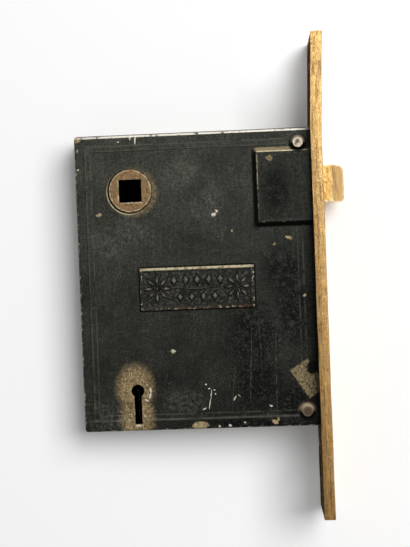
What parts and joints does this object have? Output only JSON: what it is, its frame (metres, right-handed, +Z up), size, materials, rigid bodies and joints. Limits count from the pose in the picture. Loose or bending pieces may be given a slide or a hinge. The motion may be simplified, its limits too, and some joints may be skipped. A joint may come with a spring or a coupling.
{
  "type": "mortise door lock",
  "caption": "Mortise door lock: cast case and cap, brass faceplate, sprung latch bolt drawn by a square-holed hub, and a lever-held dead bolt worked by a key.",
  "frame": {"origin": "centre of the faceplate's back face, where it seats in the door's edge", "axes": "+X out of the door's edge, the way both bolts are thrown; +Z up along the faceplate; the broad face with the tablet looks to -Y"},
  "size_m": [0.0981, 0.0254, 0.1746],
  "materials": {
    "japanned_iron": "black japan over cast iron, worn through at edges and round the holes",
    "faceplate_brass": "rolled brass, worn, with dark streaks along its edges",
    "bolt_brass": "cast brass, rubbed bright",
    "hub_bronze": "cast bronze, dull brown",
    "steel": "wrought steel, dull and lightly oxidised",
    "spring_steel": "blued spring steel"
  },
  "bodies": {
    "case": {"case": "japanned_iron", "cap": "japanned_iron", "faceplate": "faceplate_brass", "front_rivet_upper": "steel", "front_rivet_lower": "steel", "cap_screw_front": "steel", "cap_screw_rear": "steel", "lever_post": "steel"},
    "hub": {"hub": "hub_bronze"},
    "latch": {"latch_head": "bolt_brass", "latch_stem": "steel", "latch_pin": "steel", "latch_yoke": "steel", "latch_spring": "spring_steel"},
    "dead_bolt": {"bolt_head": "bolt_brass", "bolt_tail": "steel", "bolt_stump": "steel", "bolt_rivets": "steel"},
    "lever_1": {"lever_1": "bolt_brass", "lever_spring_1": "spring_steel"},
    "lever_2": {"lever_2": "bolt_brass", "lever_spring_2": "spring_steel"},
    "lever_3": {"lever_3": "bolt_brass", "lever_spring_3": "spring_steel"}
  },
  "joints": [
    {"name": "hub_turn", "type": "hinge", "parent": "case", "child": "hub", "pos_m": [-0.06585, 0, 0.0335], "axis": [0, -1, 0], "range_deg": [0, 41]},
    {"name": "latch_slide", "type": "slide", "parent": "case", "child": "latch", "axis": [-1, 0, 0], "range_m": [0, 0.008], "stiffness_N_per_m": 200, "springref_m": -0.01, "deforming": ["latch_spring"]},
    {"name": "dead_bolt_slide", "type": "slide", "parent": "case", "child": "dead_bolt", "axis": [1, 0, 0], "range_m": [0, 0.0127]},
    {"name": "lever_1_turn", "type": "hinge", "parent": "case", "child": "lever_1", "pos_m": [-0.03, 0, -0.022], "axis": [0, 1, 0], "range_deg": [-8, 0], "stiffness_Nm_per_rad": 0.02, "springref_deg": -17.19},
    {"name": "lever_2_turn", "type": "hinge", "parent": "case", "child": "lever_2", "pos_m": [-0.03, 0, -0.022], "axis": [0, 1, 0], "range_deg": [-8, 0], "stiffness_Nm_per_rad": 0.02, "springref_deg": -17.19},
    {"name": "lever_3_turn", "type": "hinge", "parent": "case", "child": "lever_3", "pos_m": [-0.03, 0, -0.022], "axis": [0, 1, 0], "range_deg": [-8, 0], "stiffness_Nm_per_rad": 0.02, "springref_deg": -17.19}
  ],
  "couplings": [
    {"joint": "hub_turn", "follows": "latch_slide", "rad_per_m": 89.34}
  ]
}
